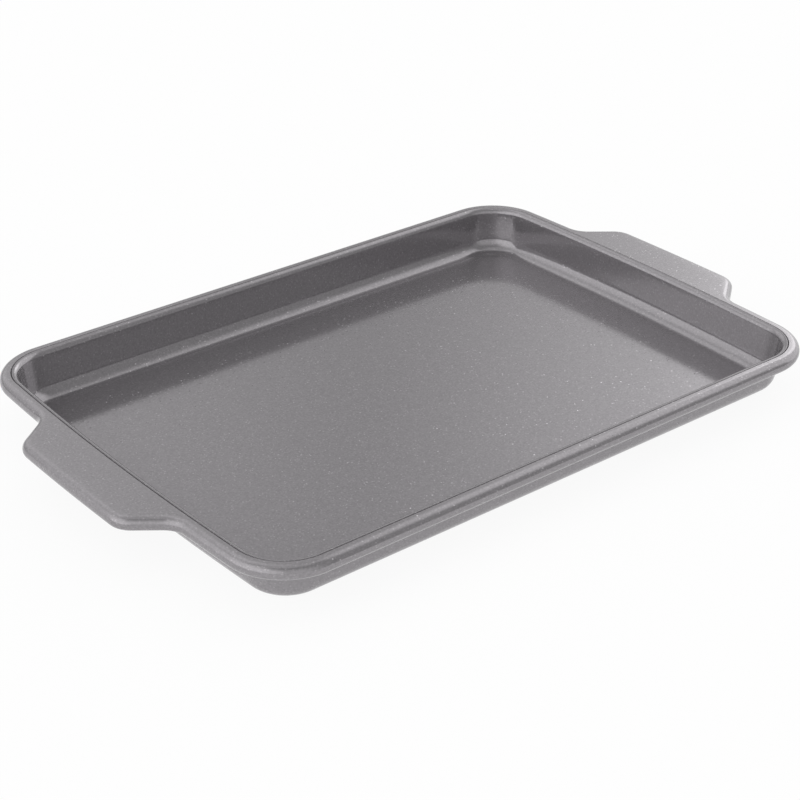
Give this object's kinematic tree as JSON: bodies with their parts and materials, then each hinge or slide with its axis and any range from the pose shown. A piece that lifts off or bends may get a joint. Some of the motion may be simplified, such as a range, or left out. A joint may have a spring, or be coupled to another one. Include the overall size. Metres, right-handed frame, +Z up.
{
  "type": "sheet pan",
  "caption": "Shallow rectangular baking sheet pan with rounded corners, sloping walls, a flat rolled rim and a flat tab handle on each short side.",
  "frame": {"origin": "middle of the flat underside, where the pan rests", "axes": "+X along the long side towards a handle, +Y towards a long side, +Z up out of the pan"},
  "size_m": [0.4368, 0.2788, 0.0274],
  "materials": {
    "coated_steel": "satin grey metallic non-stick coating on pressed steel sheet",
    "steel_wire": "drawn and galvanised steel wire"
  },
  "bodies": {
    "root": {"pan_sheet": "coated_steel", "rim_wire": "steel_wire"}
  },
  "joints": []
}
